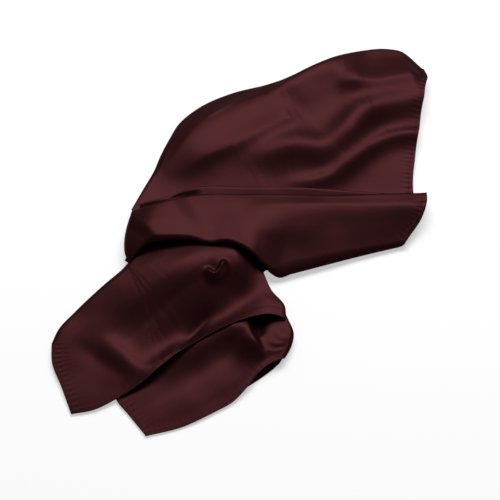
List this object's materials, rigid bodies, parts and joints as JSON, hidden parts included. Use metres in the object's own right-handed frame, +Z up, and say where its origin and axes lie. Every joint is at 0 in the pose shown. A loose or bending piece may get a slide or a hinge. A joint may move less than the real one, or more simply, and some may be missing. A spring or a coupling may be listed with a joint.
{
  "type": "square satin scarf, folded and dropped",
  "caption": "Square satin scarf lying where it was dropped: folded once, pinched in the middle, spread as a fan at one end and with two hemmed corners as tails at the other.",
  "frame": {"origin": "middle of the scarf's box, on the surface that it lies on", "axes": "+Z up, +Y away from the tails towards the fold of the fan, +X towards the hemmed end of the fan"},
  "size_m": [0.3691, 0.4628, 0.0262],
  "materials": {
    "satin": "dark burgundy satin, soft tinted sheen",
    "satin_hem": "the same satin turned and stitched as a narrow hem",
    "satin_under": "the same satin, in the shade of the layers above"
  },
  "bodies": {
    "root": {"fan_back": "satin", "fan_tuck": "satin", "fan_front": "satin", "tail_upper": "satin", "tail_lower": "satin", "hem_fan_back": "satin_hem", "hem_fan_front": "satin_hem", "hem_tail_upper_end": "satin_hem", "hem_tail_upper_side": "satin_hem", "hem_tail_lower_end": "satin_hem", "hem_tail_lower_side": "satin_hem", "hidden_layers": "satin_under"}
  },
  "joints": []
}
